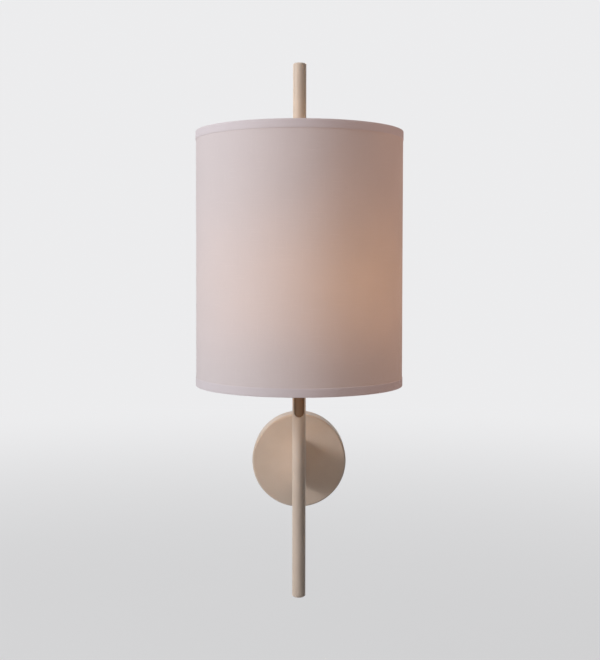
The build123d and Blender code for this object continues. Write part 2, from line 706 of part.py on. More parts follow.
with BuildPart() as bulb_glass:
    add(blown_profile(0))
    revolve(axis=LAMP_AXIS)
    add(blown_profile(GLASS_WALL))
    revolve(axis=LAMP_AXIS, mode=Mode.SUBTRACT)
save(bulb_glass, "bulb_glass")

# Glass stem inside: a flare in the neck, drawn up to the post that carries the sticks.
STEM_RADIUS = GLASS_NECK - GLASS_WALL - 0.05
STEM_FLARE = 1.0
STEM_WAIST_RADIUS = 3.0
STEM_WAIST_Z = GLASS_LOW + 6.0
STEM_TOP_RADIUS = 1.4
STEM_TOP = GLASS_LOW + 16.0

with BuildPart() as bulb_stem:
    with BuildSketch(LAMP_FRAME):
        with BuildLine():
            Polyline(
                (0, GLASS_LOW),
                (STEM_RADIUS, GLASS_LOW),
                (STEM_RADIUS, GLASS_LOW + STEM_FLARE),
                (STEM_WAIST_RADIUS, STEM_WAIST_Z),
                (STEM_TOP_RADIUS, STEM_TOP),
                (0, STEM_TOP),
                close=True,
            )
        make_face()
    revolve(axis=LAMP_AXIS)
save(bulb_stem, "bulb_stem")

# The four sticks lean together towards the top.
STICKS = 4
STICK_RADIUS = 0.9
STICK_LENGTH = 30.0
STICK_FOOT_Z = STEM_TOP + 2.0
STICK_FOOT = 4.6
STICK_HEAD = 3.0


def stick_ends(turn):
    """Foot and head of one stick."""
    angle = math.radians(360 * (turn + 0.5) / STICKS)
    foot = (LAMP_OFFSET + STICK_FOOT * math.cos(angle), STICK_FOOT * math.sin(angle) - ROD_TO_WALL)
    head = (LAMP_OFFSET + STICK_HEAD * math.cos(angle), STICK_HEAD * math.sin(angle) - ROD_TO_WALL)
    return Vector(*foot, STICK_FOOT_Z), Vector(*head, STICK_FOOT_Z + STICK_LENGTH)


with BuildPart() as bulb_filaments:
    for turn in range(STICKS):
        foot, head = stick_ends(turn)
        with BuildSketch(Plane(foot, z_dir=head - foot)):
            Circle(STICK_RADIUS)
        extrude(amount=(head - foot).length)
save(bulb_filaments, "bulb_filaments")

# Thin wires from the stem's post to the feet, and a star of wires that joins the heads.
SUPPORT_RADIUS = 0.3
POST_RADIUS = 0.9
POST = 1.0
CROWN_RISE = 1.5

with BuildPart() as filament_wires:
    with BuildSketch(lamp_level(STEM_TOP)):
        Circle(POST_RADIUS)
    extrude(amount=POST)
    post_middle = Vector(LAMP_OFFSET, -ROD_TO_WALL, STEM_TOP + POST / 2)
    crown = Vector(LAMP_OFFSET, -ROD_TO_WALL, STICK_FOOT_Z + STICK_LENGTH + CROWN_RISE)
    for turn in range(STICKS):
        foot, head = stick_ends(turn)
        for start, end in ((post_middle, foot), (crown, head)):
            with BuildSketch(Plane(start, z_dir=end - start)):
                Circle(SUPPORT_RADIUS)
            extrude(amount=(end - start).length)
    add(bulb_filaments.part, mode=Mode.SUBTRACT)
save(filament_wires, "filament_wires")

# ---------------------------------------------------------------- leads
# Route of each lead: up from its clamp, out through the arm, up the rod,
# through the bush and up the nipple into the core.
LEAD_START_Z = BLOCK_Z + 3.0
LIVE_ARM_Z = 12.0
NEUTRAL_ARM_Z = 5.0
LIVE_Y = LEAD_GAP - ROD_TO_WALL
NEUTRAL_Y = -LEAD_GAP - ROD_TO_WALL
LARGEST_BEND = 5.0


def bend_radii(route):
    """Bend radius at each inner corner of a lead, as large as its runs allow."""
    radii = []
    for before, corner, after in zip(route, route[1:], route[2:]):
        run_in = Vector(*corner) - Vector(*before)
        run_out = Vector(*after) - Vector(*corner)
        half_turn = math.radians(run_in.get_angle(run_out)) / 2
        room = 0.45 * min(run_in.length, run_out.length) / math.tan(half_turn)
        radii.append(min(room, LARGEST_BEND))
    return radii


def lead(route, name):
    """Round lead swept along straight runs joined by arcs."""
    radii = bend_radii(route)
    with BuildPart() as wire:
        with BuildLine() as path:
            FilletPolyline(*route, radius=radii)
        run = path.wires()[0]
        with BuildSketch(Plane(run @ 0, z_dir=run % 0)):
            Circle(LEAD_RADIUS)
        sweep(path=run)
    tube = math.pi * LEAD_RADIUS**2 * run.length
    print(name, "bend radii:", [round(radius, 1) for radius in radii])
    print(name, "volume / (section x length):", round(wire.part.volume / tube, 4))
    save(wire, name)


live_route = [
    (-POLE_PITCH, WIRE_Y, LEAD_START_Z),
    (-POLE_PITCH, WIRE_Y, 1.0),
    (0, -20.0, LIVE_ARM_Z),
    (0, LIVE_Y, LIVE_ARM_Z),
    (0, LIVE_Y, GROMMET_Z),
    (LAMP_OFFSET, LIVE_Y, GROMMET_Z),
    (LAMP_OFFSET, LIVE_Y, LEAD_END_Z),
]
neutral_route = [
    (0, WIRE_Y, LEAD_START_Z),
    (0, WIRE_Y, 0),
    (0, -18.0, NEUTRAL_ARM_Z),
    (0, NEUTRAL_Y, NEUTRAL_ARM_Z),
    (0, NEUTRAL_Y, GROMMET_Z),
    (LAMP_OFFSET, NEUTRAL_Y, GROMMET_Z),
    (LAMP_OFFSET, NEUTRAL_Y, LEAD_END_Z),
]
earth_route = [
    (POLE_PITCH, WIRE_Y, LEAD_START_Z),
    (POLE_PITCH, WIRE_Y, -2.0),
    (EARTH_STUD_X, TAG_LEAD_Y, 2.0),
    (EARTH_STUD_X, TAG_LEAD_Y, TAG_BARREL_Z + TAG_BARREL_LENGTH / 2),
]
lead(live_route, "lead_live")
lead(neutral_route, "lead_neutral")
lead(earth_route, "lead_earth")

# ---------------------------------------------------------------- shade seat on the rod
SEAT_Z = 310.0
COLLAR_HEIGHT = 8.0
COLLAR_RADIUS = 11.5
COLLAR_CHAMFER = 0.6
BUSH_FLANGE = 1.5
BUSH_RADIUS = 9.2
BUSH_CHAMFER = 0.5
BUSH_ABOVE_HUB = 1.0
RUNNING_GAP = 0.08
HUB_HEIGHT = 8.0
HUB_RADIUS = 13.5
HUB_CHAMFER = 0.8
HUB_LOW = SEAT_Z + BUSH_FLANGE

with BuildPart() as stop_collar:
    with BuildSketch(level(SEAT_Z - COLLAR_HEIGHT)):
        Circle(COLLAR_RADIUS)
    extrude(amount=COLLAR_HEIGHT)
    chamfer(stop_collar.edges().group_by(Axis.Z)[0], COLLAR_CHAMFER)
    chamfer(stop_collar.edges().group_by(Axis.Z)[-1], COLLAR_CHAMFER)
    with BuildSketch(level(SEAT_Z)):
        Circle(ROD_RADIUS)
    extrude(amount=-COLLAR_HEIGHT, mode=Mode.SUBTRACT)
    with BuildSketch(Plane.YZ):
        with Locations((-ROD_TO_WALL, SEAT_Z - COLLAR_HEIGHT / 2)):
            Circle(SET_SCREW_RADIUS)
    extrude(amount=-2 * ROD_RADIUS, mode=Mode.SUBTRACT)
save(stop_collar, "stop_collar")

rod_grip_screw(SEAT_Z - COLLAR_HEIGHT / 2, 3.6, "collar_screw")

# Flanged bush: it turns on the rod, and the shade's hub drops over it.
with BuildPart() as shade_bush:
    with BuildSketch(level(SEAT_Z)):
        Circle(COLLAR_RADIUS)
    extrude(amount=BUSH_FLANGE)
    with BuildSketch(level(HUB_LOW)):
        Circle(BUSH_RADIUS)
    extrude(amount=HUB_HEIGHT + BUSH_ABOVE_HUB)
    chamfer(shade_bush.edges().group_by(Axis.Z)[-1], BUSH_CHAMFER)
    with BuildSketch(level(SEAT_Z)):
        Circle(ROD_RADIUS + RUNNING_GAP)
    extrude(amount=2 * HUB_HEIGHT, mode=Mode.SUBTRACT)
save(shade_bush, "shade_bush")

# ---------------------------------------------------------------- shade carrier
# Three bent spokes run from a turned hub up to the top ring.
SPOKE_ANGLES = [90, 210, 330]
SPOKE_SOCKET = 2.5
SPOKE_ROOT = HUB_RADIUS - SPOKE_SOCKET
SPOKE_Z = HUB_LOW + HUB_HEIGHT / 2
SPOKE_KNEE = 82.0
SPOKE_BEND = 14.0
RING_RADIUS = SHADE_RADIUS - FABRIC - LINER - 2 * GLUE - WIRE_RADIUS
RING_INSET = 2.8
TOP_RING_Z = SHADE_TOP - RING_INSET
BOTTOM_RING_Z = SHADE_BOTTOM + RING_INSET


def spoke_plane(degrees):
    """Upright plane through the rod and along one spoke."""
    angle = math.radians(degrees)
    outward = Vector(math.cos(angle), math.sin(angle), 0)
    return Plane((0, -ROD_TO_WALL, 0), x_dir=outward, z_dir=outward.cross(Vector(0, 0, 1)))


def wire_ring(height, name):
    """Closed ring of round wire."""
    with BuildPart() as ring:
        with BuildSketch(ROD_FRAME):
            with Locations((RING_RADIUS, height)):
                Circle(WIRE_RADIUS)
        revolve(axis=ROD_AXIS)
    save(ring, name)
    return ring.part


top_ring = wire_ring(TOP_RING_Z, "top_ring")
wire_ring(BOTTOM_RING_Z, "bottom_ring")

with BuildPart() as shade_spokes:
    for degrees in SPOKE_ANGLES:
        with BuildLine(spoke_plane(degrees)) as spoke:
            FilletPolyline(
                (SPOKE_ROOT, SPOKE_Z),
                (SPOKE_KNEE, SPOKE_Z),
                (RING_RADIUS, TOP_RING_Z),
                radius=SPOKE_BEND,
            )
        run = spoke.wires()[0]
        with BuildSketch(Plane(run @ 0, z_dir=run % 0)):
            Circle(WIRE_RADIUS)
        sweep(path=run)
    add(top_ring, mode=Mode.SUBTRACT)
save(shade_spokes, "shade_spokes")

with BuildPart() as shade_hub:
    with BuildSketch(level(HUB_LOW)):
        Circle(HUB_RADIUS)
    extrude(amount=HUB_HEIGHT)
    chamfer(shade_hub.edges().group_by(Axis.Z)[0], HUB_CHAMFER)
    chamfer(shade_hub.edges().group_by(Axis.Z)[-1], HUB_CHAMFER)
    with BuildSketch(level(HUB_LOW)):
        Circle(BUSH_RADIUS + RUNNING_GAP)
    extrude(amount=HUB_HEIGHT, mode=Mode.SUBTRACT)
    for degrees in SPOKE_ANGLES:
        upright = spoke_plane(degrees)
        root = upright.from_local_coords((SPOKE_ROOT, SPOKE_Z, 0))
        with BuildSketch(Plane(root, z_dir=upright.x_dir)):
            Circle(WIRE_RADIUS)
        extrude(amount=2 * SPOKE_SOCKET, mode=Mode.SUBTRACT)
save(shade_hub, "shade_hub")

# ---------------------------------------------------------------- shade skin
RIM_FOLD = 0.2
RIM_SOFTNESS = 0.5
TUCK_HEIGHT = 2.4


def drum(outer_radius, thickness, name):
    """Open tube between the two folded rims."""
    with BuildPart() as tube:
        with BuildSketch(level(SHADE_BOTTOM + TRIM + RIM_FOLD)):
            Circle(outer_radius)
            Circle(outer_radius - thickness, mode=Mode.SUBTRACT)
        extrude(amount=SHADE_HEIGHT - 2 * (TRIM + RIM_FOLD))
    save(tube, name)


drum(SHADE_RADIUS, FABRIC, "shade_fabric")
drum(SHADE_RADIUS - FABRIC - GLUE, LINER, "shade_liner")


def rim_trim(edge, inward, name):
    """Band of cloth folded over a rim and tucked in behind its wire ring."""
    outer = SHADE_RADIUS + GLUE + TRIM
    inner = RING_RADIUS - WIRE_RADIUS - GLUE - TRIM
    with BuildPart() as band:
        with BuildSketch(ROD_FRAME):
            with BuildLine():
                Polyline(
                    (outer, edge + inward * TRIM_HEIGHT),
                    (outer, edge + inward * RIM_SOFTNESS),
                    (outer - RIM_SOFTNESS, edge),
                    (inner + RIM_SOFTNESS, edge),
                    (inner, edge + inward * RIM_SOFTNESS),
                    (inner, edge + inward * TUCK_HEIGHT),
                    (inner + TRIM, edge + inward * TUCK_HEIGHT),
                    (inner + TRIM, edge + inward * TRIM),
                    (outer - TRIM, edge + inward * TRIM),
                    (outer - TRIM, edge + inward * TRIM_HEIGHT),
                    close=True,
                )
            make_face()
        revolve(axis=ROD_AXIS)
    save(band, name)


rim_trim(SHADE_TOP, -1, "top_trim")
rim_trim(SHADE_BOTTOM, 1, "bottom_trim")
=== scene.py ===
import math

import bmesh
import bpy
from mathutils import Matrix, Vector, noise


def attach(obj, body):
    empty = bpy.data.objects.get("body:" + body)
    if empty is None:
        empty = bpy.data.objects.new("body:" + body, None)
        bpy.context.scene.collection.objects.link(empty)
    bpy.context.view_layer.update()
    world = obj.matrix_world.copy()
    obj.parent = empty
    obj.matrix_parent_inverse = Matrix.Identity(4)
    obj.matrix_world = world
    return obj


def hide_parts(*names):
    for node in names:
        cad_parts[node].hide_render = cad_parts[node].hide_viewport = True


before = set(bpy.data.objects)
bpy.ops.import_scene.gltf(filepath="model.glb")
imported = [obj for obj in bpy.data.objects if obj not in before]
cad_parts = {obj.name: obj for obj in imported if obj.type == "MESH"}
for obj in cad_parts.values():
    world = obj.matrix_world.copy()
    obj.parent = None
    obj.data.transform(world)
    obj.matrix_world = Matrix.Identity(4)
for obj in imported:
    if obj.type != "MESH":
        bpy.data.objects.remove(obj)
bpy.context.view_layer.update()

# Wall light with a drum shade, in metres, in the frame of the solids.
ROD_Y = -0.115
ROD_RADIUS = 0.0065
LAMP_X = 0.028
SHADE_RADIUS = 0.100
SHADE_BOTTOM = 0.093
SHADE_TOP = 0.337
LINER_INSIDE = 0.0986
HEM_HEIGHT = 0.008
RING_RADIUS = 0.0969
CLOTH_THICK = 0.0004
CLOTH_LAP = 0.010
HEM_LAP = 0.009
DRUM_STEPS = 288
SPOKE_ANGLES = [math.radians(degrees) for degrees in (180, 60, -60)]
BULB_THREAD_PITCH = 0.00282
TUBE_THREAD_PITCH = 0.001
GLOW_HEIGHT = 0.196
FADE_HEIGHT = 0.07
BULB_MIDDLE = 0.203
FLOOR_HEIGHT = -0.6
BACKDROP = (0.84, 0.84, 0.85, 1.0)


# ---------------------------------------------------------------- bench tools
def paint(red, green, blue):
    """Linear colour of a swatch written as 0 to 255 values."""
    return tuple(
        value / 255 / 12.92 if value <= 10 else ((value / 255 + 0.055) / 1.055) ** 2.4
        for value in (red, green, blue)
    ) + (1.0,)


class Bench:
    """Places and wires the nodes of one material or one shared group."""

    def __init__(self, tree):
        self.tree = tree

    def node(self, kind, **settings):
        made = self.tree.nodes.new("ShaderNode" + kind)
        for name, value in settings.items():
            setattr(made, name, value)
        return made

    def join(self, value, socket):
        """A socket is linked, anything else is set as the socket's own value."""
        if isinstance(value, bpy.types.NodeSocket):
            self.tree.links.new(value, socket)
        elif value is not None:
            socket.default_value = value

    def sum(self, operation, first, second=None, third=None):
        made = self.node("Math", operation=operation)
        for value, socket in zip((first, second, third), made.inputs):
            self.join(value, socket)
        return made.outputs[0]

    def vector(self, operation, first, second=None):
        made = self.node("VectorMath", operation=operation)
        self.join(first, made.inputs[0])
        self.join(second, made.inputs[1])
        return made.outputs[0]

    def parts_of(self, vector):
        made = self.node("SeparateXYZ")
        self.join(vector, made.inputs[0])
        return made.outputs

    def point(self, x, y, z):
        made = self.node("CombineXYZ")
        for value, socket in zip((x, y, z), made.inputs):
            self.join(value, socket)
        return made.outputs[0]

    def ramp(self, value, from_low, from_high, to_low, to_high, smooth=True):
        made = self.node("MapRange", interpolation_type="SMOOTHSTEP" if smooth else "LINEAR")
        for number, socket in zip((value, from_low, from_high, to_low, to_high), made.inputs):
            self.join(number, socket)
        return made.outputs[0]

    def blend(self, factor, first, second, kind="MIX"):
        made = self.node("Mix", data_type="RGBA", blend_type=kind)
        self.join(factor, made.inputs[0])
        self.join(first, made.inputs[6])
        self.join(second, made.inputs[7])
        return made.outputs[2]

    def cloud(self, where, scale, detail=2.0, roughness=0.5):
        made = self.node("TexNoise")
        self.join(where, made.inputs["Vector"])
        made.inputs["Scale"].default_value = scale
        made.inputs["Detail"].default_value = detail
        made.inputs["Roughness"].default_value = roughness
        return made.outputs["Fac"]

    def place(self):
        """Position on the piece in its own frame, in metres."""
        return self.node("TexCoord").outputs["Object"]

    def use(self, shared, **values):
        """Places a shared group with its own values, and gives its outputs."""
        made = self.tree.nodes.new("ShaderNodeGroup")
        made.node_tree = shared
        for name, value in values.items():
            self.join(value, made.inputs[name.replace("_", " ")])
        return made.outputs


def shared_effect(name, inputs, outputs, build):
    """Shader node group with named inputs and outputs, built once."""
    tree = bpy.data.node_groups.new(name, "ShaderNodeTree")
    for label, start in inputs.items():
        kind = "NodeSocketVector" if isinstance(start, tuple) else "NodeSocketFloat"
        tree.interface.new_socket(label, in_out="INPUT", socket_type=kind).default_value = start
    for label in outputs:
        tree.interface.new_socket(label, in_out="OUTPUT", socket_type="NodeSocketFloat")
    bench = Bench(tree)
    given = tree.nodes.new("NodeGroupInput").outputs
    result = tree.nodes.new("NodeGroupOutput").inputs
    for label, value in build(bench, given).items():
        bench.join(value, result[label])
    return tree


def finish_for(name, roughness, metallic=0.0, bump=0.0, depth=0.0002, **constants):
    """Material with one principled shader. Gives it, its bench, its shader and its bump node."""
    made = bpy.data.materials.new(name)
    made.use_nodes = True
    bench = Bench(made.node_tree)
    shader = next(node for node in made.node_tree.nodes if node.type == "BSDF_PRINCIPLED")
    shader.inputs["Roughness"].default_value = roughness
    shader.inputs["Metallic"].default_value = metallic
    for label, value in constants.items():
        shader.inputs[label.replace("_", " ")].default_value = value
    relief = None
    if bump:
        relief = bench.node("Bump")
        relief.inputs["Strength"].default_value = bump
        relief.inputs["Distance"].default_value = depth
        bench.join(relief.outputs[0], shader.inputs["Normal"])
    return made, bench, shader, relief


# ---------------------------------------------------------------- shared effects
def build_round_the_drum(bench, given):
    """Arc length from the front and height of a point on the drum."""
    x, y, z = bench.parts_of(given["Place"])
    out = bench.sum("ADD", y, -ROD_Y)
    turn = bench.sum("ARCTAN2", x, bench.sum("MULTIPLY", out, -1.0))
    return {"Arc": bench.sum("MULTIPLY", turn, SHADE_RADIUS), "Height": z}


def build_plain_weave(bench, given):
    """Threads over and under each other, with thick slubs and thin places."""
    across = bench.sum("DIVIDE", given["Arc"], given["Pitch"])
    along = bench.sum("DIVIDE", given["Height"], given["Pitch"])
    warp = bench.sum("ABSOLUTE", bench.sum("SINE", bench.sum("MULTIPLY", across, math.pi)))
    weft = bench.sum("ABSOLUTE", bench.sum("SINE", bench.sum("MULTIPLY", along, math.pi)))
    beat = bench.sum(
        "MULTIPLY",
        bench.sum("SINE", bench.sum("MULTIPLY", bench.sum("ADD", across, 0.5), math.pi)),
        bench.sum("SINE", bench.sum("MULTIPLY", bench.sum("ADD", along, 0.5), math.pi)),
    )
    over = bench.ramp(beat, -0.35, 0.35, 0.0, 1.0)
    under = bench.sum("SUBTRACT", 1.0, over)
    woven = bench.sum("ADD", bench.sum("MULTIPLY", warp, over), bench.sum("MULTIPLY", weft, under))
    long_way = bench.point(
        bench.sum("MULTIPLY", given["Arc"], 40.0), bench.sum("MULTIPLY", given["Height"], 1400.0), 0.0
    )
    tall_way = bench.point(
        bench.sum("MULTIPLY", given["Arc"], 1400.0), bench.sum("MULTIPLY", given["Height"], 30.0), 3.0
    )
    slub = bench.ramp(bench.cloud(long_way, 1.0, 3.0, 0.6), 0.56, 0.74, 0.0, 1.0)
    cord = bench.ramp(bench.cloud(tall_way, 1.0, 3.0, 0.6), 0.58, 0.76, 0.0, 1.0)
    thick = bench.sum("MAXIMUM", slub, cord)
    relief = bench.sum("ADD", woven, bench.sum("MULTIPLY", thick, 0.8))
    return {"Threads": woven, "Slubs": thick, "Relief": relief}


def build_lamp_glow(bench, given):
    """Painted lamp glow on a point of the drum: a haze that fades at the foot, and a band level with the
    bulb.
    """
    x, y, z = bench.parts_of(given["Place"])
    side = bench.sum("SUBTRACT", x, LAMP_X)
    out = bench.sum("SUBTRACT", y, ROD_Y)
    reach = bench.sum("ADD", bench.sum("POWER", side, 2.0), bench.sum("POWER", out, 2.0))
    near = bench.sum("DIVIDE", SHADE_RADIUS**2, bench.sum("ADD", reach, 0.004))
    rise = bench.sum("DIVIDE", bench.sum("SUBTRACT", z, GLOW_HEIGHT), given["Spread"])
    band = bench.sum("POWER", math.e, bench.sum("MULTIPLY", bench.sum("POWER", rise, 2.0), -0.5))
    drift = bench.ramp(bench.cloud(given["Place"], 22.0, 2.0), 0.3, 0.7, 0.96, 1.04, False)
    # the painted glow is made dimmer towards the shade's foot
    foot = bench.ramp(z, SHADE_BOTTOM, SHADE_BOTTOM + FADE_HEIGHT, 0.82, 1.0)
    haze = bench.sum("MULTIPLY", bench.sum("MULTIPLY", near, drift), foot)
    return {"Haze": haze, "Band": bench.sum("MULTIPLY", haze, band)}


def build_powder_skin(bench, given):
    """Fine orange peel of a baked powder coat, with slow changes in its sheen."""
    peel = bench.cloud(given["Place"], 1500.0, 3.0, 0.55)
    dimple = bench.cloud(given["Place"], 420.0, 2.0)
    slow = bench.cloud(given["Place"], 24.0, 3.0)
    relief = bench.sum("ADD", bench.sum("MULTIPLY", peel, 0.45), bench.sum("MULTIPLY", dimple, 0.55))
    return {"Relief": relief, "Drift": bench.ramp(slow, 0.3, 0.7, 0.0, 1.0), "Fleck": peel}


def build_drawn_grain(bench, given):
    """Fine parallel marks that drawing or turning leaves in metal."""
    stretched = bench.vector("MULTIPLY", given["Place"], given["Stretch"])
    marks = bench.cloud(stretched, 1.0, 4.0, 0.65)
    patches = bench.cloud(given["Place"], 90.0, 4.0, 0.6)
    return {"Marks": marks, "Patches": bench.ramp(patches, 0.35, 0.68, 0.0, 1.0)}


def build_moulded_skin(bench, given):
    """Spark-eroded skin of moulded plastic and the faint flow marks in it."""
    spark = bench.cloud(given["Place"], 2600.0, 2.0, 0.6)
    stretched = bench.vector("MULTIPLY", given["Place"], (60.0, 60.0, 25.0))
    flow = bench.ramp(bench.cloud(stretched, 1.0, 3.0, 0.5), 0.35, 0.65, 0.0, 1.0)
    return {"Relief": spark, "Flow": flow}


drum_place = shared_effect(
    "Round the drum", {"Place": (0.0, 0.0, 0.0)}, ["Arc", "Height"], build_round_the_drum
)
plain_weave = shared_effect(
    "Plain weave",
    {"Arc": 0.0, "Height": 0.0, "Pitch": 0.0005},
    ["Threads", "Slubs", "Relief"],
    build_plain_weave,
)
lamp_glow = shared_effect(
    "Lamp glow", {"Place": (0.0, 0.0, 0.0), "Spread": 0.048}, ["Haze", "Band"], build_lamp_glow
)
powder_skin = shared_effect(
    "Powder skin", {"Place": (0.0, 0.0, 0.0)}, ["Relief", "Drift", "Fleck"], build_powder_skin
)
drawn_grain = shared_effect(
    "Drawn grain",
    {"Place": (0.0, 0.0, 0.0), "Stretch": (1.0, 1.0, 1.0)},
    ["Marks", "Patches"],
    build_drawn_grain,
)
moulded_skin = shared_effect(
    "Moulded skin", {"Place": (0.0, 0.0, 0.0)}, ["Relief", "Flow"], build_moulded_skin
)


# ---------------------------------------------------------------- materials
def powder_coat(name, dark, light, roughness):
    """Satin powder coat, as on the rod, arm and wall cover."""
    made, bench, shader, relief = finish_for(
        name, roughness, bump=0.10, depth=0.0001, Specular_IOR_Level=0.25
    )
    skin = bench.use(powder_skin, Place=bench.place())
    tint = bench.blend(skin["Drift"], dark, light)
    speck = bench.ramp(skin["Fleck"], 0.30, 0.42, 0.93, 1.0)
    speckled = bench.blend(1.0, tint, bench.point(speck, speck, speck), "MULTIPLY")
    bench.join(speckled, shader.inputs["Base Color"])
    satin = bench.ramp(skin["Drift"], 0.0, 1.0, roughness - 0.06, roughness + 0.04)
    bench.join(satin, shader.inputs["Roughness"])
    bench.join(skin["Relief"], relief.inputs["Height"])
    return made


def shine_through(bench, shader, place, haze, band, grain=1.0):
    """Painted glow of a skin that lets the lamp's light through: emission that stands in for that light, less
    of it where it is seen aslant.
    """
    light = bench.use(lamp_glow, Place=place)
    slant = bench.node("LayerWeight").outputs["Facing"]
    even = bench.sum("MULTIPLY", light["Haze"], grain)
    through = bench.ramp(slant, 0.0, 1.0, 1.0, 0.25, False)
    strong = bench.sum("MULTIPLY", bench.sum("MULTIPLY", light["Band"], grain), through)
    soft_part = bench.blend(1.0, bench.point(even, even, even), haze + (1.0,), "MULTIPLY")
    warm_part = bench.blend(1.0, bench.point(strong, strong, strong), band + (1.0,), "MULTIPLY")
    bench.join(bench.blend(1.0, soft_part, warm_part, "ADD"), shader.inputs["Emission Color"])
    shader.inputs["Emission Strength"].default_value = 1.0


def cloth_finish(name, weft, warp, pitch, haze, band):
    """Woven cloth, with the lamp's warm light through it painted on as emission."""
    made, bench, shader, relief = finish_for(
        name, 0.92, bump=0.35, depth=0.0001, Sheen_Weight=0.06, Sheen_Roughness=0.45, Specular_IOR_Level=0.05
    )
    place = bench.place()
    drum = bench.use(drum_place, Place=place)
    weave = bench.use(plain_weave, Arc=drum["Arc"], Height=drum["Height"], Pitch=pitch)
    thread = bench.blend(weave["Threads"], weft, warp)
    shade = bench.ramp(weave["Slubs"], 0.0, 1.0, 0.975, 1.03, False)
    colour = bench.blend(1.0, thread, bench.point(shade, shade, shade), "MULTIPLY")
    bench.join(colour, shader.inputs["Base Color"])
    bench.join(weave["Relief"], relief.inputs["Height"])
    # painted glow, a little stronger between the thread crests than on them
    shine_through(bench, shader, place, haze, band, bench.ramp(weave["Threads"], 0.0, 1.0, 1.06, 0.97, False))
    return made


def liner_film():
    """Translucent film inside the cloth, lit by the bulb, with more of the bulb's glow painted on it as
    emission.
    """
    made, bench, shader, relief = finish_for("Liner film", 0.5, bump=0.08, depth=0.0002)
    place = bench.place()
    skin = bench.use(moulded_skin, Place=place)
    bench.join(
        bench.blend(skin["Flow"], paint(243, 238, 229), paint(238, 232, 222)), shader.inputs["Base Color"]
    )
    bench.join(skin["Relief"], relief.inputs["Height"])
    # painted glow of the bulb on the film
    shine_through(bench, shader, place, (0.12, 0.065, 0.030), (0.16, 0.09, 0.038))
    return made


def drawn_metal(name, dark, bright, roughness, stretch):
    """Bare or plated metal with fine drawn marks."""
    made, bench, shader, relief = finish_for(name, roughness, metallic=1.0, bump=0.12, depth=0.0001)
    grain = bench.use(drawn_grain, Place=bench.place(), Stretch=stretch)
    bench.join(bench.blend(grain["Patches"], bright, dark), shader.inputs["Base Color"])
    drawn = bench.ramp(grain["Marks"], 0.25, 0.75, roughness - 0.08, roughness + 0.12)
    bench.join(drawn, shader.inputs["Roughness"])
    bench.join(grain["Marks"], relief.inputs["Height"])
    return made


def moulded_plastic(name, light, shadow, roughness):
    """Moulded plastic or fired clay with a fine skin."""
    made, bench, shader, relief = finish_for(name, roughness, bump=0.10, depth=0.0001)
    skin = bench.use(moulded_skin, Place=bench.place())
    bench.join(bench.blend(skin["Flow"], light, shadow), shader.inputs["Base Color"])
    matt = bench.ramp(skin["Relief"], 0.3, 0.7, roughness - 0.05, roughness + 0.08)
    bench.join(matt, shader.inputs["Roughness"])
    bench.join(skin["Relief"], relief.inputs["Height"])
    return made


def earth_sheath():
    """Green sheath with the yellow stripe wound along it."""
    made, bench, shader, relief = finish_for("Earth sheath", 0.38, bump=0.08, depth=0.0001)
    place = bench.place()
    skin = bench.use(moulded_skin, Place=place)
    x, y, z = bench.parts_of(place)
    turn = bench.sum("ADD", bench.sum("MULTIPLY", x, 900.0), bench.sum("MULTIPLY", y, 500.0))
    wound = bench.sum("SINE", bench.sum("ADD", turn, bench.sum("MULTIPLY", z, 60.0)))
    stripe = bench.ramp(wound, -0.1, 0.1, 0.0, 1.0)
    bench.join(bench.blend(stripe, paint(44, 118, 56), paint(226, 196, 46)), shader.inputs["Base Color"])
    bench.join(skin["Relief"], relief.inputs["Height"])
    return made


def clear_glass():
    """Clear blown glass of the bulb."""
    made, bench, shader, relief = finish_for(
        "Clear bulb glass", 0.02, bump=0.02, depth=0.0005, Transmission_Weight=1.0, IOR=1.46
    )
    shader.inputs["Base Color"].default_value = (1.0, 0.985, 0.96, 1.0)
    bench.join(bench.cloud(bench.place(), 60.0, 1.0), relief.inputs["Height"])
    return made


def lit_filament():
    """Light-giving stick, brightest where its phosphor is thickest."""
    made, bench, shader, _ = finish_for("Lit filament", 0.6)
    bead_spacing = 0.0016
    height = bench.parts_of(bench.place())[2]
    beads = bench.sum("SINE", bench.sum("MULTIPLY", height, 2 * math.pi / bead_spacing))
    level = bench.ramp(beads, -1.0, 1.0, 0.0, 1.0)
    amber = bench.blend(level, (1.0, 0.55, 0.22, 1.0), (1.0, 0.74, 0.42, 1.0))
    bench.join(amber, shader.inputs["Emission Color"])
    shader.inputs["Base Color"].default_value = paint(240, 200, 120)
    shader.inputs["Emission Strength"].default_value = 6.0
    return made


cream = powder_coat("Cream powder coat", paint(219, 200, 184), paint(226, 208, 193), 0.42)
# Pipe seen in the rod's window: its brown, far darker than the rod's cream, is painted shade for the inside
# of the window.
window_pipe_shade = powder_coat("Window pipe painted shade", paint(146, 118, 96), paint(154, 126, 103), 0.5)
# haze and band are the colours of the lamp glow painted on the shade cloth and its hems
shade_weave = cloth_finish(
    "Shade cloth",
    weft=paint(207, 205, 210),
    warp=paint(200, 198, 203),
    pitch=0.0005,
    haze=(0.263, 0.142, 0.097),
    band=(0.166, 0.077, 0.018),
)
hem_weave = cloth_finish(
    "Hem cloth",
    weft=paint(210, 208, 215),
    warp=paint(204, 202, 209),
    pitch=0.00045,
    haze=(0.235, 0.128, 0.095),
    band=(0.080, 0.040, 0.012),
)
film = liner_film()
zinc = drawn_metal(
    "Zinc plated steel", (0.44, 0.45, 0.46, 1.0), (0.60, 0.61, 0.62, 1.0), 0.34, (90.0, 90.0, 900.0)
)
brass = drawn_metal(
    "Turned brass", (0.62, 0.44, 0.17, 1.0), (0.80, 0.60, 0.27, 1.0), 0.26, (300.0, 300.0, 1200.0)
)
nickel = drawn_metal(
    "Nickel plated cap", (0.50, 0.48, 0.45, 1.0), (0.68, 0.66, 0.62, 1.0), 0.22, (200.0, 200.0, 1400.0)
)
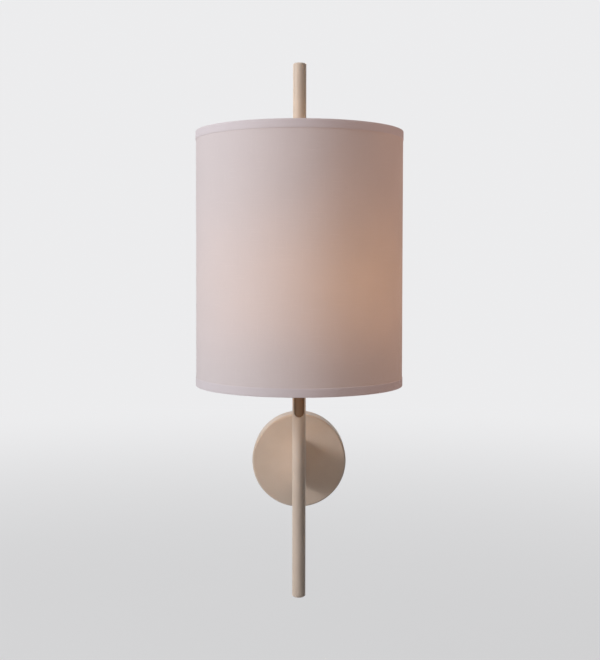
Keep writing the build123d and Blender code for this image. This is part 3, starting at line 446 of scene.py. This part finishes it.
solder = drawn_metal(
    "Solder tip", (0.40, 0.40, 0.41, 1.0), (0.58, 0.58, 0.58, 1.0), 0.40, (500.0, 500.0, 500.0)
)
steel_wire = drawn_metal(
    "Drawn support wire", (0.36, 0.36, 0.37, 1.0), (0.52, 0.52, 0.53, 1.0), 0.30, (900.0, 900.0, 90.0)
)
white_nylon = moulded_plastic("White nylon", paint(232, 230, 223), paint(224, 221, 213), 0.46)
holder_white = moulded_plastic("Lampholder plastic", paint(226, 223, 215), paint(218, 215, 206), 0.36)
fired_clay = moulded_plastic("Fired lampholder core", paint(231, 228, 220), paint(221, 216, 206), 0.62)
live_sheath = moulded_plastic("Brown live sheath", paint(98, 62, 40), paint(84, 52, 34), 0.40)
neutral_sheath = moulded_plastic("Blue neutral sheath", paint(46, 92, 160), paint(38, 80, 146), 0.40)
black_glass = moulded_plastic("Black glass insulator", paint(26, 26, 30), paint(18, 18, 22), 0.16)
white_wire = moulded_plastic("White coated wire", paint(236, 234, 229), paint(229, 226, 220), 0.34)
earth = earth_sheath()
glass = clear_glass()
filament = lit_filament()

FINISH_OF_NODE = {
    cream: "cover arm_blade rod_tube rod_top_cap rod_bottom_cap holder_arm stop_collar",
    window_pipe_shade: "lead_pipe",
    zinc: "wall_bracket arm_foot nipple nipple_nut cover_grub_screws holder_arm_screw "
    "collar_screw block_screw",
    brass: "earth_screw terminal_clamps terminal_screws earth_stud earth_tag thread_sleeve centre_contact",
    white_nylon: "terminal_block shade_bush rod_grommet",
    holder_white: "holder_base holder_skirt",
    fired_clay: "holder_core",
    live_sheath: "lead_live",
    neutral_sheath: "lead_neutral",
    earth: "lead_earth",
    nickel: "bulb_cap",
    solder: "bulb_contact",
    black_glass: "bulb_insulator",
    glass: "bulb_glass bulb_stem",
    filament: "bulb_filaments",
    steel_wire: "filament_wires",
    white_wire: "shade_hub shade_spokes top_ring bottom_ring",
    film: "shade_liner",
    shade_weave: "shade_fabric",
    hem_weave: "top_trim bottom_trim",
}


def dress_the_solids():
    """Gives every solid of the frame its finish."""
    for finish, names in FINISH_OF_NODE.items():
        for name in names.split():
            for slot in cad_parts[name].material_slots:
                slot.material = finish


# ---------------------------------------------------------------- pieces
def piece(name, mesh, finish, body, stands_for=(), smooth=40.0):
    """Turns a bmesh into a piece that rides on a body."""
    bmesh.ops.recalc_face_normals(mesh, faces=mesh.faces)
    for face in mesh.faces:
        face.smooth = True
    for edge in mesh.edges:
        if len(edge.link_faces) == 2 and edge.calc_face_angle(0.0) > math.radians(smooth):
            edge.smooth = False
    data = bpy.data.meshes.new(name)
    mesh.to_mesh(data)
    mesh.free()
    data.materials.append(finish)
    made = bpy.data.objects.new(name, data)
    bpy.context.collection.objects.link(made)
    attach(made, body)
    if stands_for:
        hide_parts(*stands_for)
    return made


def skin_between(mesh, loops, closed_loops, closed_row):
    """Faces between neighbouring loops of points, all of the same count."""
    rows = [[mesh.verts.new(point) for point in loop] for loop in loops]
    row_pairs = list(zip(rows, rows[1:]))
    if closed_row:
        row_pairs.append((rows[-1], rows[0]))
    count = len(rows[0])
    steps = count if closed_loops else count - 1
    for near, far in row_pairs:
        for step in range(steps):
            after = (step + 1) % count
            mesh.faces.new((near[step], near[after], far[after], far[step]))
    return rows


def rim_between(mesh, outer, inner):
    """Rim that joins two closed rows of vertices of the same count."""
    count = len(outer)
    for step in range(count):
        after = (step + 1) % count
        mesh.faces.new((outer[step], outer[after], inner[after], inner[step]))


def cap_loop(mesh, loop):
    """Closes a loop of vertices with one flat face."""
    mesh.faces.new(loop)


def rounded(corners, radius, steps=4):
    """Closed outline with its corners rounded off by short curves."""
    outline = []
    count = len(corners)
    for index in range(count):
        before, corner, after = (Vector(corners[(index + shift) % count]) for shift in (-1, 0, 1))
        room_in = min(radius, (corner - before).length * 0.45)
        room_out = min(radius, (after - corner).length * 0.45)
        start = corner + (before - corner).normalized() * room_in
        end = corner + (after - corner).normalized() * room_out
        for step in range(steps + 1):
            share = step / steps
            outline.append(start.lerp(corner, share).lerp(corner.lerp(end, share), share))
    return outline


def around(radius, angle, height):
    """Point round the rod: angle 0 is the front and the back is half a turn."""
    return Vector((radius * math.sin(angle), ROD_Y - radius * math.cos(angle), height))


def lapped_turn(step, lap, slope):
    """Angle of a step round a lapped band, and how far it has climbed onto the band's start."""
    angle = -math.pi - lap / 2 + (2 * math.pi + lap) * step / DRUM_STEPS
    climb = (angle - (math.pi - lap / 2 - slope)) / slope
    return angle, min(1.0, max(0.0, climb))


def make_shade_cloth():
    """Cloth drum, lapped over itself at the back and a little uneven."""
    lap = CLOTH_LAP / SHADE_RADIUS
    lap_lift = 0.00045
    inset = 0.00008
    unevenness = 0.00014
    hidden_edge = 0.0009
    rows = 26
    low, high = SHADE_BOTTOM + hidden_edge, SHADE_TOP - hidden_edge
    mesh = bmesh.new()
    loops = []
    for step in range(DRUM_STEPS + 1):
        angle, over = lapped_turn(step, lap, 0.03)
        outer, inner = [], []
        for row in range(rows + 1):
            height = low + (high - low) * row / rows
            sway = noise.noise(around(SHADE_RADIUS, angle, height) * 26.0)
            hold = math.sin(math.pi * row / rows)
            face = SHADE_RADIUS - inset + lap_lift * over + unevenness * sway * hold
            outer.append(around(face, angle, height))
            inner.append(around(face - CLOTH_THICK, angle, height))
        loops.append(outer + inner[::-1])
    ends = skin_between(mesh, loops, True, False)
    for loop in (ends[0], ends[-1]):
        half = len(loop) // 2
        for step in range(half - 1):
            mesh.faces.new((loop[step], loop[step + 1], loop[-step - 2], loop[-step - 1]))
    return piece("shade_cloth", mesh, shade_weave, "shade", ["shade_fabric"])


def make_hem(name, edge, inward, node):
    """Band of cloth folded over a rim, round its wire ring and glued inside."""
    outer = SHADE_RADIUS + 0.0003
    inner = RING_RADIUS - 0.0023
    turn_in = 0.0030
    corners = [
        (outer, HEM_HEIGHT),
        (outer, 0.0),
        (inner, 0.0),
        (inner, turn_in),
        (inner + CLOTH_THICK, turn_in),
        (inner + CLOTH_THICK, CLOTH_THICK),
        (outer - CLOTH_THICK, CLOTH_THICK),
        (outer - CLOTH_THICK, HEM_HEIGHT),
    ]
    outline = rounded(corners, 0.00032, 2)
    long_face = []
    for before, after in zip(outline, outline[1:] + outline[:1]):
        long_face.append(before)
        if (after - before).length > 0.004:
            long_face += [before.lerp(after, share) for share in (0.25, 0.5, 0.75)]
    mesh = bmesh.new()
    loops = []
    lap = HEM_LAP / SHADE_RADIUS
    for step in range(DRUM_STEPS + 1):
        angle, over = lapped_turn(step, lap, 0.02)
        wave = noise.noise(Vector((angle * 5.0, edge * 90.0, 0.0)))
        ripple = noise.noise(Vector((angle * 16.0, edge * 90.0, 4.0)))
        loop = []
        for out, depth in long_face:
            share = min(1.0, depth / HEM_HEIGHT)
            lap_lift = 0.0005 if out > SHADE_RADIUS - 0.001 else -0.0002
            reach = out + over * lap_lift + 0.00008 * ripple * share
            height = depth + 0.00022 * wave * share
            overhang = inward * over * 0.0003 * (1 - share)
            loop.append(around(reach, angle, edge + inward * height - overhang))
        loops.append(loop)
    rows = skin_between(mesh, loops, True, False)
    for row in (rows[0], rows[-1]):
        cap_loop(mesh, row)
    return piece(name, mesh, hem_weave, "shade", [node])


def make_liner_lap():
    """Strip where the film is lapped and glued, inside the back of the shade."""
    mesh = bmesh.new()
    loops = []
    half = 0.006 / LINER_INSIDE
    steps = 8
    buried = LINER_INSIDE + 0.0001
    low, high = SHADE_BOTTOM + 0.0045, SHADE_TOP - 0.0045
    for step in range(steps + 1):
        angle = math.pi - half + 2 * half * step / steps
        face = LINER_INSIDE - (0.0002 if 0 < step < steps else 0.0)
        loops.append([
            around(buried, angle, low),
            around(face, angle, low),
            around(face, angle, high),
            around(buried, angle, high),
        ])
    rows = skin_between(mesh, loops, True, False)
    for row in (rows[0], rows[-1]):
        cap_loop(mesh, row)
    return piece("liner_lap", mesh, film, "shade")


def thread_surface(mesh, low, high, pitch, crest, root, wall):
    """Threaded tube on the lamp's middle line, with a helical crest outside and inside."""
    rows = max(8, int((high - low) / pitch * 10))
    segments = 64
    outer, inner = [], []
    for row in range(rows + 1):
        height = low + (high - low) * row / rows
        fade = min(1.0, (height - low) / pitch, (high - height) / pitch)
        middle = Vector((LAMP_X, ROD_Y, height))
        outside, inside = [], []
        for step in range(segments):
            angle = 2 * math.pi * step / segments
            bulge = 0.5 + 0.5 * math.cos(2 * math.pi * height / pitch - angle)
            radius = crest - (crest - root) * (1.0 - bulge * max(fade, 0.0))
            direction = Vector((math.cos(angle), math.sin(angle), 0.0))
            outside.append(middle + direction * radius)
            inside.append(middle + direction * (radius - wall))
        outer.append(outside)
        inner.append(inside)
    outer_rows = skin_between(mesh, outer, True, False)
    inner_rows = skin_between(mesh, inner, True, False)
    for end in (0, -1):
        rim_between(mesh, outer_rows[end], inner_rows[end])


def make_thread_sleeve():
    """Rolled brass sleeve with the lampholder's thread in it."""
    mesh = bmesh.new()
    low, high = 0.147, 0.1625
    thread_surface(mesh, low, high, BULB_THREAD_PITCH, crest=0.0077, root=0.00748, wall=0.0003)
    return piece("rolled_thread_sleeve", mesh, brass, "frame", ["thread_sleeve"])


def make_nipple():
    """Threaded tube that joins the lampholder to its side arm."""
    mesh = bmesh.new()
    low, high = 0.105, 0.126
    thread_surface(mesh, low, high, TUBE_THREAD_PITCH, crest=0.005, root=0.0046, wall=0.0007)
    return piece("threaded_nipple", mesh, zinc, "frame", ["nipple"])


def make_skirt_rim():
    """Soft rim at the foot of the lampholder's skirt, with fine ribs above it for the fingers."""
    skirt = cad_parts["holder_skirt"]
    corners = [skirt.matrix_world @ Vector(corner) for corner in skirt.bound_box]
    foot = min(corner.z for corner in corners)
    skirt_radius = (max(corner.x for corner in corners) - min(corner.x for corner in corners)) / 2
    ribs, steps_per_rib = 40, 6
    rib_height = 0.00022
    rim = [(-0.0002, 0.0), (0.0, 0.00028), (0.0004, 0.0004), (0.0014, 0.0004), (0.0018, 0.00028)]
    ribbed = [(0.0022, 0.0001), (0.0060, 0.0001), (0.0096, 0.0001)]
    top = 0.0100
    buried = -0.0001
    rows = [(rise, proud, 0.0) for rise, proud in rim]
    rows += [(rise, proud, rib_height) for rise, proud in ribbed]
    rows += [(top, 0.0, 0.0), (top, buried, 0.0), (rim[0][0], buried, 0.0)]
    turns = [2 * math.pi * step / (ribs * steps_per_rib) for step in range(ribs * steps_per_rib)]
    mesh = bmesh.new()
    loops = []
    for rise, proud, rib in rows:
        loop = []
        for turn in turns:
            reach = skirt_radius + proud + rib * max(0.0, math.cos(turn * ribs)) ** 0.6
            x = LAMP_X + reach * math.cos(turn)
            y = ROD_Y + reach * math.sin(turn)
            loop.append(Vector((x, y, foot + rise)))
        loops.append(loop)
    skin_between(mesh, loops, True, True)
    return piece("holder_skirt_rim", mesh, holder_white, "frame", smooth=30.0)


def plain_cap_radius(rise):
    """Radius of the bulb cap without its thread, so far above its foot."""
    profile = [
        (0.0, 0.0058),
        (0.0010, 0.0066),
        (0.0104, 0.0066),
        (0.0120, 0.0074),
        (0.01335, 0.0085),
        (0.0140, 0.00852),
        (0.0190, 0.00850),
        (0.01985, 0.00838),
    ]
    for (z0, r0), (z1, r1) in zip(profile, profile[1:]):
        if rise <= z1:
            return r0 + (r1 - r0) * (rise - z0) / (z1 - z0)
    return profile[-1][1]


def make_bulb_cap():
    """Bulb cap with its rolled thread, flare and punch marks round the skirt."""
    mesh = bmesh.new()
    low, high = 0.15265, 0.1725
    thread_low, thread_high, thread_fade = 0.0004, 0.0108, 0.0012
    thread_depth, thread_root = 0.0005, 0.0003
    punches, punch_rise, punch_half, punch_depth = 12, 0.0165, 0.0009, 0.00035
    wall = 0.0003
    rows, segments = 96, 72
    outer, inner = [], []
    for row in range(rows + 1):
        rise = (high - low) * row / rows
        height = low + rise
        fade_in = (rise - thread_low) / thread_fade
        fade_out = (thread_high - rise) / thread_fade
        in_thread = min(1.0, max(0.0, fade_in), max(0.0, fade_out))
        level_with_punch = max(0.0, 1 - ((rise - punch_rise) / punch_half) ** 2)
        middle = Vector((LAMP_X, ROD_Y, height))
        out_loop, in_loop = [], []
        for step in range(segments):
            angle = 2 * math.pi * step / segments
            crest = 0.5 + 0.5 * math.cos(2 * math.pi * height / BULB_THREAD_PITCH - angle)
            radius = plain_cap_radius(rise) + in_thread * (crest * thread_depth - thread_root)
            beat = abs((angle * punches / (2 * math.pi)) % 1.0 - 0.5) * 2
            radius -= punch_depth * (level_with_punch * max(0.0, beat - 0.72) / 0.28)
            direction = Vector((math.cos(angle), math.sin(angle), 0.0))
            out_loop.append(middle + direction * radius)
            in_loop.append(middle + direction * (radius - wall))
        outer.append(out_loop)
        inner.append(in_loop)
    outer_rows = skin_between(mesh, outer, True, False)
    inner_rows = skin_between(mesh, inner, True, False)
    for end in (0, -1):
        rim_between(mesh, outer_rows[end], inner_rows[end])
    return piece("threaded_bulb_cap", mesh, nickel, "bulb", ["bulb_cap"])


def weld_bead(mesh, path, radius, closed):
    """Rope of weld metal along a path, with the small ripples of the pool."""
    loops = []
    sides = 8
    count = len(path)
    for index, point in enumerate(path):
        ahead = path[(index + 1) % count] if closed or index < count - 1 else point
        behind = path[index - 1] if closed or index > 0 else point
        along = (ahead - behind).normalized()
        across = along.cross(Vector((0.3, 0.2, 1.0))).normalized()
        other = along.cross(across)
        size = radius * (1.0 + 0.10 * math.sin(index * 1.9) + 0.05 * math.sin(index * 0.63))
        if not closed:
            size *= math.sin(math.pi * (index + 0.6) / (count + 0.2)) ** 0.5
        loops.append([
            point + (across * math.cos(turn) + other * math.sin(turn)) * size
            for turn in (2 * math.pi * side / sides for side in range(sides))
        ])
    rows = skin_between(mesh, loops, True, closed)
    if not closed:
        for row in (rows[0], rows[-1]):
            cap_loop(mesh, row)


def make_arm_weld():
    """Smooth weld, under the paint, where the arm's end is coped to the rod."""
    mesh = bmesh.new()
    path = []
    straight = 0.022
    half_width = 0.003
    run_steps, turn_steps = 24, 12
    for side in (1, -1):
        for step in range(run_steps):
            path.append((half_width * side, side * (-straight + 2 * straight * step / run_steps)))
        for step in range(turn_steps):
            turn = math.pi * step / turn_steps
            x = half_width * math.cos(turn) * side
            path.append((x, side * (straight + half_width * math.sin(turn))))
    points = [Vector((x, ROD_Y + math.sqrt(ROD_RADIUS**2 - x * x) + 0.0001, z)) for x, z in path]
    weld_bead(mesh, points, 0.0009, True)
    return piece("arm_weld", mesh, cream, "frame", smooth=80.0)


def make_ring_welds():
    """Small welds where each spoke meets the top ring."""
    mesh = bmesh.new()
    top_ring_height = 0.3342
    below = 0.0012
    for angle in SPOKE_ANGLES:
        for side in (-1, 1):
            path = []
            for step in range(7):
                turn = angle + side * (0.012 + 0.0035 * step)
                climb = 0.00012 * step
                path.append(around(RING_RADIUS - below + climb, turn, top_ring_height - below + climb))
            weld_bead(mesh, path, 0.0008, False)
    return piece("ring_welds", mesh, white_wire, "shade", smooth=80.0)


def make_hub_welds():
    """Small welds round the foot of each spoke on the hub."""
    mesh = bmesh.new()
    hub_radius, spoke_height = 0.0135, 0.3155
    weld_radius = 0.0017
    steps = 20
    for angle in SPOKE_ANGLES:
        middle = around(hub_radius, angle, spoke_height)
        outward = (around(1.0, angle, 0.0) - around(0.0, angle, 0.0)).normalized()
        sideways = outward.cross(Vector((0, 0, 1)))
        ring = []
        for step in range(steps):
            turn = 2 * math.pi * step / steps
            upward = Vector((0, 0, weld_radius * math.sin(turn)))
            ring.append(middle + sideways * weld_radius * math.cos(turn) + upward)
        weld_bead(mesh, ring, 0.0006, True)
    return piece("hub_welds", mesh, white_wire, "shade", smooth=80.0)


# ---------------------------------------------------------------- studio
def set_camera():
    """Camera where the photograph was taken from."""
    lens = bpy.data.cameras.new("Camera")
    lens.sensor_width = 36.0
    lens.lens = 54.26
    lens.shift_x = 0.001
    lens.shift_y = -0.0537
    camera = bpy.data.objects.new("Camera", lens)
    camera.location = (0.0, -1.0836, 0.2105)
    camera.rotation_euler = (math.radians(90 - 1.776), math.radians(-0.1), 0.0)
    bpy.context.collection.objects.link(camera)
    bpy.context.scene.camera = camera


def seen_directly(bench):
    """One for what the camera, a reflection or clear glass looks at, and nought for light."""
    path = bench.node("LightPath")
    mirrored = bench.sum("MAXIMUM", path.outputs["Is Glossy Ray"], path.outputs["Is Transmission Ray"])
    return bench.sum("MAXIMUM", path.outputs["Is Camera Ray"], mirrored)


def set_world():
    """Even soft light, and a pale backdrop for whatever looks at it."""
    world = bpy.data.worlds.new("Studio")
    bpy.context.scene.world = world
    world.use_nodes = True
    world.node_tree.nodes.clear()
    bench = Bench(world.node_tree)
    soft = bench.node("Background")
    soft.inputs["Color"].default_value = (1.0, 1.0, 1.0, 1.0)
    soft.inputs["Strength"].default_value = 0.04
    pale = bench.node("Background")
    pale.inputs["Color"].default_value = BACKDROP
    pale.inputs["Strength"].default_value = 1.0
    mixed = bench.node("MixShader")
    bench.join(seen_directly(bench), mixed.inputs[0])
    bench.join(soft.outputs[0], mixed.inputs[1])
    bench.join(pale.outputs[0], mixed.inputs[2])
    bench.join(mixed.outputs[0], bench.node("OutputWorld").inputs["Surface"])


def set_lamp(name, left, up, power, size=0.55, away=1.6):
    """Square soft light, so many degrees left of the camera's side and above the shade."""
    left, up = math.radians(left), math.radians(up)
    aim = Vector((0.0, -0.10, 0.16))
    toward = Vector((-math.sin(left) * math.cos(up), -math.cos(left) * math.cos(up), math.sin(up)))
    lamp = bpy.data.lights.new(name, "AREA")
    lamp.size = size
    lamp.energy = power
    made = bpy.data.objects.new(name, lamp)
    made.location = aim + toward * away
    made.rotation_euler = (-toward).to_track_quat("-Z", "Y").to_euler()
    bpy.context.collection.objects.link(made)


def set_bulb_light():
    """The lit bulb inside the shade."""
    lamp = bpy.data.lights.new("Bulb light", "POINT")
    lamp.energy = 0.055
    lamp.color = (1.0, 0.66, 0.36)
    lamp.shadow_soft_size = 0.012
    made = bpy.data.objects.new("Bulb light", lamp)
    made.location = (LAMP_X, ROD_Y, BULB_MIDDLE)
    bpy.context.collection.objects.link(made)


def pale_floor():
    """Plain floor well below the light, which pales into the backdrop with distance."""
    made, bench, shader, _ = finish_for("Pale floor", 0.85, Specular_IOR_Level=0.15)
    place = bench.place()
    tone = bench.ramp(bench.cloud(place, 3.0, 3.0), 0.3, 0.7, 0.0, 1.0)
    pale = bench.blend(tone, (0.80, 0.80, 0.81, 1.0), (0.83, 0.83, 0.84, 1.0))
    bench.join(pale, shader.inputs["Base Color"])
    haze = bench.node("Emission")
    haze.inputs["Color"].default_value = BACKDROP
    distance = bench.node("VectorMath", operation="LENGTH")
    bench.join(place, distance.inputs[0])
    far = bench.ramp(distance.outputs["Value"], 0.3, 4.5, 0.65, 1.0)
    mixed = bench.node("MixShader")
    bench.join(bench.sum("MULTIPLY", far, seen_directly(bench)), mixed.inputs[0])
    bench.join(shader.outputs[0], mixed.inputs[1])
    bench.join(haze.outputs[0], mixed.inputs[2])
    output = next(node for node in made.node_tree.nodes if node.type == "OUTPUT_MATERIAL")
    bench.join(mixed.outputs[0], output.inputs["Surface"])
    mesh = bmesh.new()
    bmesh.ops.create_grid(mesh, x_segments=2, y_segments=2, size=30.0)
    data = bpy.data.meshes.new("studio_floor")
    mesh.to_mesh(data)
    mesh.free()
    data.materials.append(made)
    floor = bpy.data.objects.new("studio_floor", data)
    floor.location = (0.0, 0.0, FLOOR_HEIGHT)
    bpy.context.collection.objects.link(floor)


bpy.context.scene.view_settings.view_transform = "Standard"
set_camera()
set_world()
set_lamp("Key light", 65, 18, 14.1)
set_lamp("Low light", 45, 0, 2.1)
set_lamp("Top light", 30, 60, 5.8)
set_lamp("Back light", 150, 20, 2.2)
set_lamp("Far side light", -140, 20, 0.3)
set_lamp("Right top light", -60, 70, 2.6)
set_bulb_light()
pale_floor()
dress_the_solids()

cloth = make_shade_cloth()
top_hem = make_hem("top_hem", SHADE_TOP, -1, "top_trim")
bottom_hem = make_hem("bottom_hem", SHADE_BOTTOM, 1, "bottom_trim")
make_liner_lap()
make_thread_sleeve()
make_nipple()
make_skirt_rim()
make_bulb_cap()
make_arm_weld()
make_ring_welds()
make_hub_welds()
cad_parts["bulb_glass"].visible_shadow = False
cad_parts["bulb_stem"].visible_shadow = False
